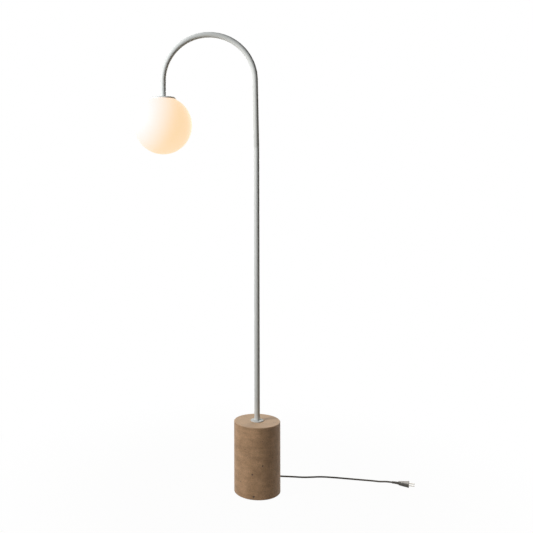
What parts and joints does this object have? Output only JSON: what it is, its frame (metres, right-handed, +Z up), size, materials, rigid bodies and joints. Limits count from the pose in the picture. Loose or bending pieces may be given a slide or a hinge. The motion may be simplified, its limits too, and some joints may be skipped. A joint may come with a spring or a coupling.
{
  "type": "globe floor lamp",
  "caption": "Free-standing floor lamp: stone cylinder foot, slim tube pole bent over in an arc, opal glass globe hanging from its end, floor cord with foot switch and plug",
  "frame": {"origin": "centre of the foot's underside, on the floor", "axes": "+Z up, the arm reaches out along -X, the cord leaves the foot along +Y"},
  "size_m": [0.9844, 0.4056, 1.5956],
  "materials": {
    "stone": "matte",
    "felt": "matte",
    "white_paint": "satin",
    "zinc_steel": "satin",
    "brass": "satin",
    "opal_glass": "satin",
    "gasket_rubber": "matte",
    "holder_plastic": "matte",
    "bulb_plastic": "gloss",
    "bulb_metal": "satin",
    "board": "matte",
    "chip": "gloss",
    "cord_jacket": "matte",
    "switch_plastic": "matte",
    "spring_steel": "satin"
  },
  "bodies": {
    "stand": {"base_collar": "white_paint", "base_pad": "felt", "centre_contact": "brass", "clamp_plate": "zinc_steel", "clip_plate": "zinc_steel", "clip_rivets": "zinc_steel", "cord_coil": "cord_jacket", "cord_stop_lower": "holder_plastic", "cord_stop_screws": "zinc_steel", "cord_stop_upper": "holder_plastic", "cord_tie": "switch_plastic", "cord_to_coil": "cord_jacket", "cord_to_plug": "cord_jacket", "cord_to_switch": "cord_jacket", "exit_bushing": "switch_plastic", "foot_bush": "zinc_steel", "gasket": "gasket_rubber", "globe_cap": "white_paint", "globe_clips": "spring_steel", "head_nipple": "zinc_steel", "holder_nut": "zinc_steel", "holder_washer": "zinc_steel", "inner_cable": "cord_jacket", "lampholder_cap": "holder_plastic", "lampholder_core": "holder_plastic", "lampholder_skirt": "holder_plastic", "lampholder_sleeve": "brass", "lower_pole": "white_paint", "plug_body": "switch_plastic", "plug_pins": "brass", "plug_sleeve": "switch_plastic", "pole_coupler": "zinc_steel", "set_screws": "zinc_steel", "star_washer": "zinc_steel", "stem_bush": "zinc_steel", "stone_base": "stone", "supply_wires": "cord_jacket", "switch_bottom": "switch_plastic", "switch_contacts": "brass", "switch_screws": "zinc_steel", "switch_sleeve_far": "switch_plastic", "switch_sleeve_near": "switch_plastic", "switch_spring": "spring_steel", "switch_top": "switch_plastic", "switch_wires": "cord_jacket", "terminals": "brass", "tie_nut": "zinc_steel", "tie_tube": "zinc_steel", "upper_arc": "white_paint"},
    "globe": {"glass_globe": "opal_glass", "globe_shoulder": "opal_glass"},
    "bulb": {"bulb_contact": "brass", "bulb_insulator": "board", "bulb_screw_cap": "bulb_metal", "bulb_body": "bulb_plastic", "driver_board": "board", "led_board": "bulb_metal", "led_chips": "chip", "bulb_diffuser": "bulb_plastic"},
    "button": {"switch_button": "switch_plastic"}
  },
  "joints": [
    {"name": "switch_press", "type": "slide", "parent": "stand", "child": "button", "axis": [0, 0, -1], "range_m": [0, 0.003], "stiffness_N_per_m": 300, "springref_m": -0.002, "deforming": ["switch_spring"]},
    {"name": "globe_removal", "type": "slide", "parent": "stand", "child": "globe", "axis": [0, 0, -1], "range_m": [0, 0.165]},
    {"name": "bulb_turn", "type": "hinge", "parent": "stand", "child": "bulb", "pos_m": [-0.32409, 0, 1.3], "axis": [0, 0, 1], "range_deg": [-900, 0]}
  ]
}
